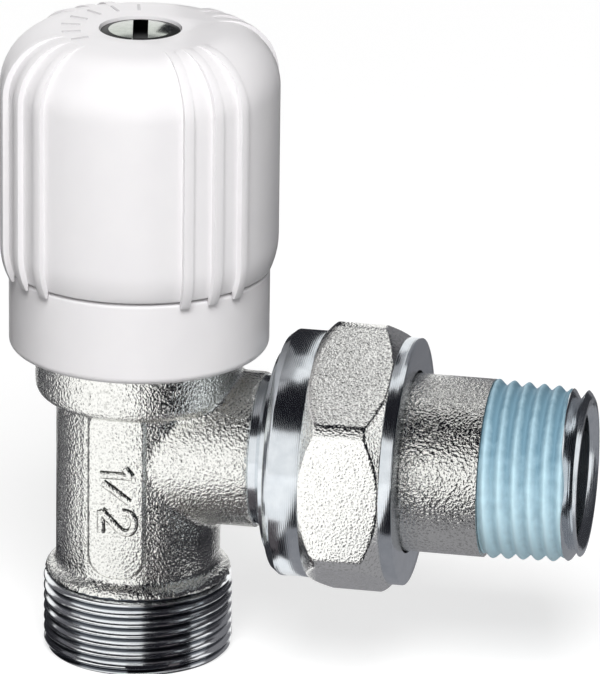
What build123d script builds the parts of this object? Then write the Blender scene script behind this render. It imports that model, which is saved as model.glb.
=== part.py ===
"""Radiator angle valve: forged brass body, rising spindle with a swivelling disc, moulded handwheel,
fixed skirt, and a union nut that holds a threaded tail on the outlet.

Millimetres. The origin is the centre of the inlet's end face, +Z runs up the spindle and +X along the
outlet. The valve is closed, with the handwheel down. Threads are plain cylinders at their crests.
"""
from build123d import *
import os
from math import cos, radians

os.makedirs("parts", exist_ok=True)

# Fits, all per side
seat_gap = 0.05  # fixed faces that bear on each other
running_gap = 0.08  # a shaft that turns in its bore
free_gap = 0.3  # moving faces that pass without touching

# Body: inlet, tube and seat
tube_radius = 10.0
tube_wall = 2.0
shoulder_step = 1.5  # inlet thread's crest above the tube
shoulder_height = 2.0
inlet_thread_length = 9.3
inlet_chamfer = 0.4
runout_length = 0.7  # groove where the inlet thread ends
runout_depth = 1.05
inlet_wall = 3.5
socket_depth = 8.5
socket_mouth = 0.6
seat_lip_width = 1.2
seat_lip_height = 1.0
seat_moat = 1.2  # groove between the seat's lip and the chamber wall
seat_drop = 0.4  # seat below the lowest line of the outlet bore
pad_width = 6.5
pad_proud = 0.15
pad_shift = -0.5  # pad's middle beside the spindle, away from the outlet
pad_draft = 40.0  # degrees of slope on the pad's sides
pad_corner = 1.3
pad_root = 0.7  # pad's lower end above the inlet thread

# Body: outlet branch
outlet_height = 26.4
outlet_bore_radius = 7.0
branch_wall = 2.45
branch_length = 15.3
neck_length = 0.9
neck_depth = 0.35
flare_length = 1.0
relief_length = 0.8
relief_depth = 0.92  # runout groove below the union thread's crest
union_thread_radius = 13.22
union_thread_length = 8.2
union_chamfer = 0.5
forging_round = 0.8  # fillet where the branch leaves the tube

# Body: head
collar_step = 2.5  # collar above the tube
collar_round = 1.7
collar_drop = 1.1  # foot of the collar below the bonnet's bore
collar_wall = 3.0
head_length = 7.3
head_room = 0.3  # bonnet's bore above the outlet bore
seal_width = 1.6
seal_thickness = 1.2

# Union
nose_length = 5.8
nose_wall = 1.65
tail_bore_radius = 7.7
tail_wall = 3.0
tail_tube_length = 14.7
tail_thread_radius = 10.48
tail_thread_length = 11.8
tail_chamfer = 1.0
tail_mouth = 1.3  # bore's mouth beyond the bore
tail_mouth_length = 1.0
tail_flange_thickness = 2.2
flange_inset = 0.45  # tail's flange below the union thread's crest
union_ring_section = 1.5
sealant_length = 9.0
sealant_coat = 0.2

# Union nut
nut_wall = 1.7
nut_end = 5.25
nut_collar_length = 4.4
nut_boss_length = 1.5
nut_turned_step = 0.1  # turned ends below the flats
nut_corner_trim = 0.42  # hexagon's corners turned down
nut_mouth_chamfer = 0.7
nut_mouth_length = 0.9
nut_bevel_length = 1.9

# Skirt
skirt_ledge = 3.16  # skirt beyond the collar
skirt_lap = 2.1  # skirt below the body's top
skirt_height = 10.1
skirt_neck_step = 0.66
skirt_neck_height = 4.5
skirt_wall = 0.95
skirt_round = 0.5
skirt_foot_round = 0.9

# Bonnet, spindle and gland
lift = 3.0
bonnet_flange_thickness = 5.0
bonnet_neck_radius = 7.5
spindle_thread_radius = 5.0
spindle_thread_length = 6.0
spindle_thread_hang = 1.0  # thread below the bonnet at rest
spindle_radius = 4.2
spindle_shank_radius = 3.0
spindle_square = 5.4
ring_section = 1.2
ring_groove_width = 1.4
ring_land = 0.6
ring_margin = 0.7
bore_margin = 0.5
gland_depth = 4.0
gland_wall = 1.9
gland_washer_thickness = 0.8
gland_head_height = 2.0
gland_head_flats = 12.0

# Disc
washer_thickness = 2.0
washer_overlap = 0.2  # rubber beyond the seat's lip
carrier_gap = 0.8
carrier_thickness = 1.7
carrier_boss_radius = 5.0
carrier_floor = 0.4
stud_radius = 2.1
stud_end = 0.4
disc_nut_flats = 6.4
disc_nut_height = 1.8
foot_radius = 2.4
foot_height = 1.15
clip_groove_radius = 1.85
clip_thickness = 0.7
clip_width = 2.0
clip_cover = 1.35
clip_opening = 1.8

# Handwheel
wheel_step = 0.99  # handwheel beyond the skirt
wheel_height = 29.0
wheel_foot_height = 3.7
wheel_foot_taper = 0.75
dome_radius = 7.0
recess_radius = 4.94
recess_depth = 3.8
recess_web = 2.2
hub_wall = 1.56
hub_gap = 2.0  # hub above the gland nut
web_thickness = 1.2
web_count = 4
web_bury = 0.5
rib_height = 0.7
rib_width = 1.15
rib_drop = 0.8  # rib's end below the handwheel's edge
rib_groups = 4
ribs_per_group = 3
rib_pitch = 13.0  # degrees
insert_length = 12.0
insert_wall = 1.0
screw_radius = 1.95
screw_length = 9.5
screw_hole_gap = 0.25
screw_head_gap = 0.34
screw_head_height = 3.1
screw_head_side = 2.6
screw_slot_width = 1.8
screw_slot_depth = 1.6
screw_slot_angle = 102.0  # degrees from the outlet
screw_washer_thickness = 0.6
screw_end_gap = 1.0

# Levels and radii that follow, body
inlet_thread_radius = tube_radius + shoulder_step
socket_radius = inlet_thread_radius - inlet_wall
shoulder_top = inlet_thread_length + shoulder_height
chamber_radius = tube_radius - tube_wall
lip_radius = chamber_radius - seat_moat
way_radius = lip_radius - seat_lip_width
seat_level = outlet_height - outlet_bore_radius - seat_drop
chamber_top = outlet_height + outlet_bore_radius + head_room
body_height = chamber_top + head_length
collar_radius = tube_radius + collar_step
collar_base = chamber_top - collar_drop
bonnet_bore_radius = collar_radius - collar_wall
seal_recess_radius = bonnet_bore_radius + seal_width
branch_radius = outlet_bore_radius + branch_wall
flare_start = branch_length + neck_length
flare_end = flare_start + flare_length
union_start = flare_end + relief_length
body_reach = union_start + union_thread_length
nose_radius = tail_bore_radius + nose_wall
nose_socket_radius = nose_radius + seat_gap
nose_start = body_reach - nose_length

# Levels and radii that follow, union
flange_start = body_reach + seat_gap
flange_end = flange_start + tail_flange_thickness
flange_radius = union_thread_radius - flange_inset
tail_radius = tail_bore_radius + tail_wall
tail_thread_start = flange_end + tail_tube_length
tail_end = tail_thread_start + tail_thread_length
coat_radius = tail_thread_radius - sealant_coat
nut_start = union_start
nut_floor = flange_end + running_gap
nut_finish = nut_floor + nut_end
nut_bore_radius = union_thread_radius + running_gap
nut_inscribed = nut_bore_radius + nut_wall
nut_turned_radius = nut_inscribed - nut_turned_step
nut_corner_radius = nut_inscribed / cos(radians(30)) - nut_corner_trim
nut_hex_start = nut_start + nut_collar_length
nut_boss_start = nut_finish - nut_boss_length
nut_hole_radius = tail_radius + free_gap

# Levels and radii that follow, skirt and bonnet
skirt_radius = collar_radius + skirt_ledge
skirt_base = body_height - skirt_lap
skirt_edge = skirt_base + skirt_height
skirt_neck_radius = skirt_radius - skirt_neck_step
skirt_bore_radius = skirt_neck_radius - skirt_wall
skirt_top = skirt_edge + skirt_neck_height
bonnet_flange_radius = skirt_bore_radius - seat_gap
bonnet_flange_top = body_height + bonnet_flange_thickness
bonnet_base = chamber_top + free_gap
bonnet_bore_top = bonnet_base - spindle_thread_hang + spindle_thread_length + lift + bore_margin
lower_groove = bonnet_bore_top + ring_margin
upper_groove = lower_groove + ring_groove_width + ring_land
gland_floor = upper_groove + ring_groove_width + lift + bore_margin
gland_radius = spindle_radius + gland_wall
bonnet_top = gland_floor + gland_depth
gland_head_base = bonnet_top + seat_gap
gland_top = gland_head_base + gland_head_height

# Levels and radii that follow, disc
washer_base = seat_level + seat_gap
washer_top = washer_base + washer_thickness
washer_radius = lip_radius + washer_overlap
washer_hole_radius = stud_radius + seat_gap
carrier_base = washer_top + seat_gap
carrier_radius = chamber_radius - carrier_gap
carrier_plate_top = carrier_base + carrier_thickness
foot_socket_floor = carrier_plate_top + carrier_floor
foot_base = foot_socket_floor + seat_gap
foot_top = foot_base + foot_height
clip_base = foot_top + seat_gap
clip_inner_radius = clip_groove_radius + running_gap
clip_outer_radius = clip_inner_radius + clip_width
clip_groove_top = clip_base + clip_thickness + seat_gap
carrier_top = clip_base + clip_thickness + clip_cover
disc_nut_top = washer_base - seat_gap
disc_nut_base = disc_nut_top - disc_nut_height
stud_base = disc_nut_base - stud_end

# Levels and radii that follow, handwheel
wheel_radius = skirt_radius + wheel_step
wheel_bore_radius = skirt_neck_radius + free_gap
wheel_wall = wheel_radius - wheel_bore_radius
wheel_base = skirt_edge + free_gap
wheel_foot_top = wheel_base + wheel_foot_height
wheel_top = wheel_base + wheel_height
dome_base = wheel_top - dome_radius
dome_inner_top = wheel_top - wheel_wall
flat_radius = wheel_radius - dome_radius
recess_floor = wheel_top - recess_depth
insert_top = recess_floor - recess_web
insert_base = insert_top - insert_length
square_reach = spindle_square / 2 * 2**0.5
insert_radius = square_reach + insert_wall
hub_bore_radius = insert_radius + seat_gap
hub_radius = recess_radius + hub_wall
hub_base = gland_top + hub_gap
spindle_top = insert_top - free_gap
rib_inner_radius = skirt_radius + free_gap
screw_head_base = recess_floor + screw_washer_thickness
screw_head_radius = recess_radius - screw_head_gap
screw_hole_radius = screw_radius + screw_hole_gap
screw_tip = screw_head_base - screw_length
tapped_floor = screw_tip - screw_end_gap

outlet_plane = Plane(origin=(0, 0, outlet_height), x_dir=(1, 0, 0), z_dir=(0, -1, 0))
outlet_axis = Axis((0, 0, outlet_height), (1, 0, 0))


def turned_section(points, plane=Plane.XZ):
    """Half section of a turned form: (radius, height) points, or (reach, radius) on the outlet plane."""
    with BuildSketch(plane) as section:
        with BuildLine():
            Polyline(*points, close=True)
        make_face()
    return section.sketch


def ring_section_at(radius, height, thickness, plane=Plane.XZ):
    """Eight-sided section of a sealing ring, with flats where it bears, centred at the given place."""
    with BuildSketch(plane) as section:
        with Locations((radius, height)):
            RegularPolygon(thickness / 2, 8, major_radius=False, rotation=22.5)
    return section.sketch


def outer_rims(piece, radius):
    """Circular edges of a turned piece at the given radius, lowest first."""
    circles = piece.edges().filter_by(GeomType.CIRCLE)
    return circles.filter_by(lambda edge: abs(edge.radius - radius) < seat_gap).sort_by(Axis.Z)


# Valve body: one forging, turned at its three ends
with BuildPart() as valve_body:
    with BuildSketch(Plane.XZ):
        with BuildLine():
            Polyline(
                (0, 0),
                (inlet_thread_radius - inlet_chamfer, 0),
                (inlet_thread_radius, inlet_chamfer),
                (inlet_thread_radius, inlet_thread_length - runout_length),
                (inlet_thread_radius - runout_depth, inlet_thread_length - runout_length),
                (inlet_thread_radius - runout_depth, inlet_thread_length),
                (inlet_thread_radius, inlet_thread_length),
            )
            TangentArc(
                (inlet_thread_radius, inlet_thread_length), (tube_radius, shoulder_top), tangent=(0, 1)
            )
            Polyline((tube_radius, shoulder_top), (tube_radius, body_height), (0, body_height), (0, 0))
        make_face()
    revolve(axis=Axis.Z)
    revolve(
        turned_section(
            [
                (0, 0),
                (0, branch_radius),
                (branch_length, branch_radius),
                (branch_length, branch_radius - neck_depth),
                (flare_start, branch_radius - neck_depth),
                (flare_end, union_thread_radius - relief_depth),
                (union_start, union_thread_radius - relief_depth),
                (union_start, union_thread_radius),
                (body_reach - union_chamfer, union_thread_radius),
                (body_reach, union_thread_radius - union_chamfer),
                (body_reach, 0),
            ],
            outlet_plane,
        ),
        axis=outlet_axis,
    )
    junction = valve_body.edges(Select.LAST).filter_by(GeomType.BSPLINE)
    fillet(junction, forging_round)
    with BuildSketch(Plane.XZ):
        with BuildLine():
            TangentArc(
                (collar_radius, collar_base + collar_round),
                (collar_radius - collar_round, collar_base),
                tangent=(0, -1),
            )
            Polyline(
                (collar_radius - collar_round, collar_base),
                (0, collar_base),
                (0, body_height),
                (collar_radius, body_height),
                (collar_radius, collar_base + collar_round),
            )
        make_face()
    revolve(axis=Axis.Z)
    pad_low = inlet_thread_length + pad_root
    pad_length = collar_base + collar_round - pad_low
    with BuildSketch(Plane.XZ.offset(tube_radius + pad_proud)):
        with Locations((pad_shift, pad_low + pad_length / 2)):
            RectangleRounded(pad_width, pad_length, pad_corner)
    extrude(amount=-tube_wall, taper=-pad_draft)
    mirror(about=Plane.XZ)
    revolve(
        turned_section(
            [
                (0, 0),
                (socket_radius + socket_mouth, 0),
                (socket_radius, socket_mouth),
                (socket_radius, socket_depth),
                (way_radius, socket_depth),
                (way_radius, seat_level),
                (lip_radius, seat_level),
                (lip_radius, seat_level - seat_lip_height),
                (chamber_radius, seat_level - seat_lip_height),
                (chamber_radius, chamber_top),
                (bonnet_bore_radius, chamber_top),
                (bonnet_bore_radius, body_height - seal_thickness),
                (seal_recess_radius, body_height - seal_thickness),
                (seal_recess_radius, body_height),
                (0, body_height),
            ]
        ),
        axis=Axis.Z,
        mode=Mode.SUBTRACT,
    )
    revolve(
        turned_section(
            [
                (0, 0),
                (0, outlet_bore_radius),
                (nose_start - seat_gap, outlet_bore_radius),
                (nose_start - seat_gap, nose_socket_radius),
                (body_reach, nose_socket_radius),
                (body_reach, 0),
            ],
            outlet_plane,
        ),
        axis=outlet_axis,
        mode=Mode.SUBTRACT,
    )
valve_body.part.label = "valve_body"
export_step(valve_body.part, "parts/valve_body.step")

# Tailpiece: sealing nose, flange under the nut, plain tube and pipe thread
union_ring_radius = nose_radius - union_ring_section / 2
union_ring_reach = nose_start + nose_length / 2
groove_half = union_ring_section / 2 + seat_gap
groove_floor = nose_radius - union_ring_section
with BuildPart() as tailpiece:
    revolve(
        turned_section(
            [
                (nose_start, tail_bore_radius),
                (nose_start, nose_radius),
                (union_ring_reach - groove_half, nose_radius),
                (union_ring_reach - groove_half, groove_floor - seat_gap),
                (union_ring_reach + groove_half, groove_floor - seat_gap),
                (union_ring_reach + groove_half, nose_radius),
                (flange_start, nose_radius),
                (flange_start, flange_radius),
                (flange_end, flange_radius),
                (flange_end, tail_radius),
                (tail_thread_start, tail_radius),
                (tail_thread_start, coat_radius - seat_gap),
                (tail_thread_start + sealant_length, coat_radius - seat_gap),
                (tail_thread_start + sealant_length, tail_thread_radius),
                (tail_end - tail_chamfer, tail_thread_radius),
                (tail_end, tail_thread_radius - tail_chamfer),
                (tail_end, tail_bore_radius + tail_mouth),
                (tail_end - tail_mouth_length, tail_bore_radius),
            ],
            outlet_plane,
        ),
        axis=outlet_axis,
    )
tailpiece.part.label = "tailpiece"
export_step(tailpiece.part, "parts/tailpiece.step")

# Sealing ring in the nose's groove
with BuildPart() as union_o_ring:
    revolve(
        ring_section_at(union_ring_reach, union_ring_radius, union_ring_section, outlet_plane), axis=outlet_axis
    )
union_o_ring.part.label = "union_o_ring"
export_step(union_o_ring.part, "parts/union_o_ring.step")

# Coat of sealant on the tail's thread
with BuildPart() as thread_sealant:
    revolve(
        turned_section(
            [
                (tail_thread_start + seat_gap, coat_radius),
                (tail_thread_start + seat_gap, tail_thread_radius),
                (tail_thread_start + sealant_length - seat_gap, tail_thread_radius),
                (tail_thread_start + sealant_length - seat_gap, coat_radius),
            ],
            outlet_plane,
        ),
        axis=outlet_axis,
    )
thread_sealant.part.label = "thread_sealant"
export_step(thread_sealant.part, "parts/thread_sealant.step")

# Union nut: hexagon bar turned at both ends, bevelled corners
with BuildPart() as union_nut:
    with BuildSketch(Plane.YZ.offset(nut_start)):
        with Locations((0, outlet_height)):
            RegularPolygon(nut_inscribed, 6, major_radius=False, rotation=30)
    extrude(amount=nut_finish - nut_start)
    revolve(
        turned_section(
            [
                (nut_start, 0),
                (nut_start, nut_turned_radius - nut_mouth_chamfer),
                (nut_start + nut_mouth_length, nut_turned_radius),
                (nut_hex_start, nut_turned_radius),
                (nut_hex_start + nut_bevel_length, nut_corner_radius),
                (nut_boss_start - nut_bevel_length, nut_corner_radius),
                (nut_boss_start, nut_turned_radius),
                (nut_finish - nut_turned_step, nut_turned_radius),
                (nut_finish, nut_turned_radius - nut_turned_step),
                (nut_finish, 0),
            ],
            outlet_plane,
        ),
        axis=outlet_axis,
        mode=Mode.INTERSECT,
    )
    revolve(
        turned_section(
            [
                (nut_start, 0),
                (nut_start, nut_bore_radius),
                (nut_floor, nut_bore_radius),
                (nut_floor, nut_hole_radius),
                (nut_finish, nut_hole_radius),
                (nut_finish, 0),
            ],
            outlet_plane,
        ),
        axis=outlet_axis,
        mode=Mode.SUBTRACT,
    )
union_nut.part.label = "union_nut"
export_step(union_nut.part, "parts/union_nut.step")

# Bonnet: screws into the head, carries the spindle
with BuildPart() as bonnet:
    revolve(
        turned_section(
            [
                (spindle_thread_radius + running_gap, bonnet_base),
                (bonnet_bore_radius - seat_gap, bonnet_base),
                (bonnet_bore_radius - seat_gap, body_height + seat_gap),
                (bonnet_flange_radius, body_height + seat_gap),
                (bonnet_flange_radius, bonnet_flange_top),
                (bonnet_neck_radius, bonnet_flange_top),
                (bonnet_neck_radius, bonnet_top),
                (gland_radius, bonnet_top),
                (gland_radius, gland_floor),
                (spindle_radius + running_gap, gland_floor),
                (spindle_radius + running_gap, bonnet_bore_top),
                (spindle_thread_radius + running_gap, bonnet_bore_top),
            ]
        ),
        axis=Axis.Z,
    )
bonnet.part.label = "bonnet"
export_step(bonnet.part, "parts/bonnet.step")

# Flat ring between the bonnet's flange and the body
with BuildPart() as bonnet_seal:
    revolve(
        turned_section(
            [
                (bonnet_bore_radius + seat_gap, body_height - seal_thickness + seat_gap),
                (seal_recess_radius - seat_gap, body_height - seal_thickness + seat_gap),
                (seal_recess_radius - seat_gap, body_height),
                (bonnet_bore_radius + seat_gap, body_height),
            ]
        ),
        axis=Axis.Z,
    )
bonnet_seal.part.label = "bonnet_seal"
export_step(bonnet_seal.part, "parts/bonnet_seal.step")

# Gland washer and nut: close the top of the bonnet
with BuildPart() as gland_washer:
    revolve(
        turned_section(
            [
                (spindle_radius + free_gap, gland_floor + seat_gap),
                (gland_radius - seat_gap, gland_floor + seat_gap),
                (gland_radius - seat_gap, gland_floor + gland_washer_thickness),
                (spindle_radius + free_gap, gland_floor + gland_washer_thickness),
            ]
        ),
        axis=Axis.Z,
    )
gland_washer.part.label = "gland_washer"
export_step(gland_washer.part, "parts/gland_washer.step")

with BuildPart() as gland_nut:
    with BuildSketch(Plane.XY.offset(gland_head_base)):
        RegularPolygon(gland_head_flats / 2, 6, major_radius=False)
    extrude(amount=gland_head_height)
    plug_base = gland_floor + gland_washer_thickness + seat_gap
    with BuildSketch(Plane.XY.offset(plug_base)):
        Circle(gland_radius - seat_gap)
    extrude(amount=gland_head_base - plug_base)
    with BuildSketch(Plane.XY.offset(plug_base)):
        Circle(spindle_radius + free_gap)
    extrude(amount=gland_top - plug_base, mode=Mode.SUBTRACT)
gland_nut.part.label = "gland_nut"
export_step(gland_nut.part, "parts/gland_nut.step")

# Spindle: foot, shank, lifting thread, seal grooves, square and tapped end
ring_inner_radius = spindle_radius + running_gap / 2 - ring_section
with BuildPart() as spindle:
    thread_base = bonnet_base - spindle_thread_hang
    thread_top = thread_base + spindle_thread_length
    groove_radius = ring_inner_radius - seat_gap
    revolve(
        turned_section(
            [
                (0, foot_base),
                (foot_radius, foot_base),
                (foot_radius, foot_top),
                (clip_groove_radius, foot_top),
                (clip_groove_radius, clip_groove_top),
                (spindle_shank_radius, clip_groove_top),
                (spindle_shank_radius, thread_base),
                (spindle_thread_radius, thread_base),
                (spindle_thread_radius, thread_top),
                (spindle_radius, thread_top),
                (spindle_radius, lower_groove),
                (groove_radius, lower_groove),
                (groove_radius, lower_groove + ring_groove_width),
                (spindle_radius, lower_groove + ring_groove_width),
                (spindle_radius, upper_groove),
                (groove_radius, upper_groove),
                (groove_radius, upper_groove + ring_groove_width),
                (spindle_radius, upper_groove + ring_groove_width),
                (spindle_radius, insert_base - seat_gap),
                (0, insert_base - seat_gap),
            ]
        ),
        axis=Axis.Z,
    )
    with BuildSketch(Plane.XY.offset(insert_base - seat_gap)):
        Rectangle(spindle_square, spindle_square)
        chamfer(vertices(), spindle_square / 8)
    extrude(amount=spindle_top - insert_base + seat_gap)
    with BuildSketch(Plane.XY.offset(tapped_floor)):
        Circle(screw_radius + seat_gap)
    extrude(amount=spindle_top - tapped_floor, mode=Mode.SUBTRACT)
spindle.part.label = "spindle"
export_step(spindle.part, "parts/spindle.step")

# Two sealing rings in the spindle's grooves
ring_radius = ring_inner_radius + ring_section / 2
with BuildPart() as spindle_o_ring_lower:
    revolve(ring_section_at(ring_radius, lower_groove + ring_groove_width / 2, ring_section), axis=Axis.Z)
spindle_o_ring_lower.part.label = "spindle_o_ring_lower"
export_step(spindle_o_ring_lower.part, "parts/spindle_o_ring_lower.step")

with BuildPart() as spindle_o_ring_upper:
    revolve(ring_section_at(ring_radius, upper_groove + ring_groove_width / 2, ring_section), axis=Axis.Z)
spindle_o_ring_upper.part.label = "spindle_o_ring_upper"
export_step(spindle_o_ring_upper.part, "parts/spindle_o_ring_upper.step")

# Disc: carrier that swivels on the spindle's foot, rubber washer and its nut
with BuildPart() as disc_carrier:
    revolve(
        turned_section(
            [
                (0, stud_base),
                (stud_radius, stud_base),
                (stud_radius, carrier_base),
                (carrier_radius, carrier_base),
                (carrier_radius, carrier_plate_top),
                (carrier_boss_radius, carrier_plate_top),
                (carrier_boss_radius, carrier_top),
                (clip_outer_radius + seat_gap, carrier_top),
                (clip_outer_radius + seat_gap, clip_base - seat_gap),
                (foot_radius + running_gap, clip_base - seat_gap),
                (foot_radius + running_gap, foot_socket_floor),
                (0, foot_socket_floor),
            ]
        ),
        axis=Axis.Z,
    )
disc_carrier.part.label = "disc_carrier"
export_step(disc_carrier.part, "parts/disc_carrier.step")

with BuildPart() as disc_washer:
    with BuildSketch(Plane.XY.offset(washer_base)):
        Circle(washer_radius)
        Circle(washer_hole_radius, mode=Mode.SUBTRACT)
    extrude(amount=washer_thickness)
disc_washer.part.label = "disc_washer"
export_step(disc_washer.part, "parts/disc_washer.step")

with BuildPart() as disc_nut:
    with BuildSketch(Plane.XY.offset(disc_nut_base)):
        RegularPolygon(disc_nut_flats / 2, 6, major_radius=False)
        Circle(washer_hole_radius, mode=Mode.SUBTRACT)
    extrude(amount=disc_nut_height)
disc_nut.part.label = "disc_nut"
export_step(disc_nut.part, "parts/disc_nut.step")

with BuildPart() as disc_clip:
    with BuildSketch(Plane.XY.offset(clip_base)):
        Circle(clip_outer_radius)
        Circle(clip_inner_radius, mode=Mode.SUBTRACT)
        with Locations((clip_outer_radius, 0)):
            Rectangle(2 * clip_outer_radius, clip_opening, mode=Mode.SUBTRACT)
    extrude(amount=clip_thickness)
disc_clip.part.label = "disc_clip"
export_step(disc_clip.part, "parts/disc_clip.step")

# Skirt: fixed ring, held under the bonnet's flange
with BuildPart() as skirt:
    revolve(
        turned_section(
            [
                (collar_radius + free_gap, skirt_base),
                (skirt_radius, skirt_base),
                (skirt_radius, skirt_edge),
                (skirt_neck_radius, skirt_edge),
                (skirt_neck_radius, skirt_top),
                (skirt_bore_radius, skirt_top),
                (skirt_bore_radius, body_height),
                (collar_radius + free_gap, body_height),
            ]
        ),
        axis=Axis.Z,
    )
    fillet(outer_rims(skirt, skirt_radius)[0], skirt_foot_round)
    fillet(outer_rims(skirt, skirt_radius)[-1], skirt_round)
skirt.part.label = "skirt"
export_step(skirt.part, "parts/skirt.step")

# One rib of the handwheel, fading out on the dome
with BuildPart() as rib:
    with BuildSketch(Plane.XZ):
        with BuildLine():
            rib_radius = wheel_radius + rib_height
            rib_low = wheel_base - rib_drop
            rib_low_radius = wheel_radius - wheel_foot_taper + rib_height / 2
            Line((rib_inner_radius, rib_low), (rib_low_radius, rib_low))
            TangentArc((rib_radius, wheel_foot_top), (rib_low_radius, rib_low), tangent=(0, -1))
            Line((rib_radius, wheel_foot_top), (rib_radius, dome_base))
            TangentArc((rib_radius, dome_base), (flat_radius, wheel_top), tangent=(0, 1))
            rib_inner_top = dome_base + rib_inner_radius - flat_radius
            Line((flat_radius, wheel_top), (flat_radius, rib_inner_top))
            TangentArc((rib_inner_radius, dome_base), (flat_radius, rib_inner_top), tangent=(0, 1))
            Line((rib_inner_radius, dome_base), (rib_inner_radius, rib_low))
        make_face()
    extrude(amount=rib_width / 2, both=True)

# One web between the handwheel's hub and its wall
with BuildPart() as web:
    with BuildSketch(Plane.XZ):
        with BuildLine():
            web_outer = wheel_bore_radius + web_bury
            web_top = dome_base + web_outer - flat_radius
            Polyline(
                (flat_radius, web_top),
                (hub_radius - web_bury, web_top),
                (hub_radius - web_bury, hub_base),
                (web_outer, hub_base),
                (web_outer, dome_base),
            )
            TangentArc((web_outer, dome_base), (flat_radius, web_top), tangent=(0, 1))
        make_face()
    extrude(amount=web_thickness / 2, both=True)

# Handwheel: moulded cap with a hub, webs and groups of ribs
with BuildPart() as handwheel:
    with BuildSketch(Plane.XZ):
        with BuildLine():
            foot = (wheel_radius - wheel_foot_taper, wheel_base)
            Line((wheel_bore_radius, wheel_base), foot)
            TangentArc((wheel_radius, wheel_foot_top), foot, tangent=(0, -1))
            Line((wheel_radius, wheel_foot_top), (wheel_radius, dome_base))
            TangentArc((wheel_radius, dome_base), (flat_radius, wheel_top), tangent=(0, 1))
            Polyline(
                (flat_radius, wheel_top),
                (recess_radius, wheel_top),
                (recess_radius, recess_floor),
                (screw_hole_radius, recess_floor),
                (screw_hole_radius, insert_top),
                (hub_bore_radius, insert_top),
                (hub_bore_radius, hub_base),
                (hub_radius, hub_base),
                (hub_radius, dome_inner_top),
                (flat_radius, dome_inner_top),
            )
            TangentArc((wheel_bore_radius, dome_base), (flat_radius, dome_inner_top), tangent=(0, 1))
            Line((wheel_bore_radius, dome_base), (wheel_bore_radius, wheel_base))
        make_face()
    revolve(axis=Axis.Z)
    with PolarLocations(0, web_count):
        add(web.part)
    for group in range(rib_groups):
        middle = (group + 0.5) * 360 / rib_groups
        first = middle - rib_pitch * (ribs_per_group - 1) / 2
        for place in range(ribs_per_group):
            add(rib.part.rotate(Axis.Z, first + place * rib_pitch))
handwheel.part.label = "handwheel"
export_step(handwheel.part, "parts/handwheel.step")

# Insert in the hub, with a square socket for the spindle
with BuildPart() as wheel_insert:
    with BuildSketch(Plane.XY.offset(insert_base)):
        Circle(insert_radius)
        Rectangle(spindle_square + 2 * seat_gap, spindle_square + 2 * seat_gap, mode=Mode.SUBTRACT)
    extrude(amount=insert_length - seat_gap)
wheel_insert.part.label = "wheel_insert"
export_step(wheel_insert.part, "parts/wheel_insert.step")

# Screw and washer in the handwheel's recess
with BuildPart() as screw_washer:
    with BuildSketch(Plane.XY.offset(recess_floor + seat_gap)):
        Circle(screw_head_radius)
        Circle(screw_radius + seat_gap, mode=Mode.SUBTRACT)
    extrude(amount=screw_washer_thickness - seat_gap)
screw_washer.part.label = "screw_washer"
export_step(screw_washer.part, "parts/screw_washer.step")

with BuildPart() as handwheel_screw:
    screw_top = screw_head_base + screw_head_height
    with BuildSketch(Plane.XZ):
        with BuildLine():
            Polyline(
                (0, screw_top),
                (0, screw_tip),
                (screw_radius, screw_tip),
                (screw_radius, screw_head_base + seat_gap),
                (screw_head_radius, screw_head_base + seat_gap),
                (screw_head_radius, screw_head_base + screw_head_side),
            )
            TangentArc((0, screw_top), (screw_head_radius, screw_head_base + screw_head_side), tangent=(1, 0))
        make_face()
    revolve(axis=Axis.Z)
    with Locations(Location((0, 0, screw_top), (0, 0, screw_slot_angle))):
        Box(2 * recess_radius, screw_slot_width, 2 * screw_slot_depth, mode=Mode.SUBTRACT)
handwheel_screw.part.label = "handwheel_screw"
export_step(handwheel_screw.part, "parts/handwheel_screw.step")
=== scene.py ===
"""Looks of a radiator angle valve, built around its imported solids.

Metres, in the frame of the solids: the origin is the centre of the inlet's end face, +Z runs up the
spindle and +X along the outlet. Sizes are written in millimetres and turned to metres by MM.
"""
import logging
import math
from contextlib import contextmanager
from dataclasses import dataclass
from enum import Enum
from typing import Any, Callable, Iterator

import bpy
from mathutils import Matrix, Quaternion, Vector


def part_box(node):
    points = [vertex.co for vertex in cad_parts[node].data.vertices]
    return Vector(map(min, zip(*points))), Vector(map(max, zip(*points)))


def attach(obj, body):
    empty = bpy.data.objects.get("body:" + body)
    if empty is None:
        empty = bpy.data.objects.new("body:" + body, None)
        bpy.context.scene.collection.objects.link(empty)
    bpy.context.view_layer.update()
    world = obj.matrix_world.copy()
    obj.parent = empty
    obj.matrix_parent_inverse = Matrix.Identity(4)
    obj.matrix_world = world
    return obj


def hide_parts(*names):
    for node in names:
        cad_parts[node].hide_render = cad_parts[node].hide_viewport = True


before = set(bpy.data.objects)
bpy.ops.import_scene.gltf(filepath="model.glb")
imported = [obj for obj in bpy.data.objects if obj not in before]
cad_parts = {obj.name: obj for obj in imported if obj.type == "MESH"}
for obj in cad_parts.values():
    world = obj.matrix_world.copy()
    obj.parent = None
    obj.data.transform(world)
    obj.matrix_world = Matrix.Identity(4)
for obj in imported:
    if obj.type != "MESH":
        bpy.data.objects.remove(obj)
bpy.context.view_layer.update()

LOG = logging.getLogger("angle_valve")
MM = 0.001
MERGE = 1e-6  # metres within which points are the same
TURN_STEPS = 128  # facets round a turned piece
WAVE_PERIOD = math.pi / 10  # length of one band of the wave texture at a scale of 1
RIDGE = "ridge"  # attribute with the height above a thread's roots

Point = tuple[float, float]
Piece = bpy.types.Object
Material = bpy.types.Material


class Body(Enum):
    """Bodies of the valve that pieces ride on."""

    VALVE = "valve"
    DISC = "disc"
    WHEEL = "handwheel"
    NUT = "union_nut"


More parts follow.
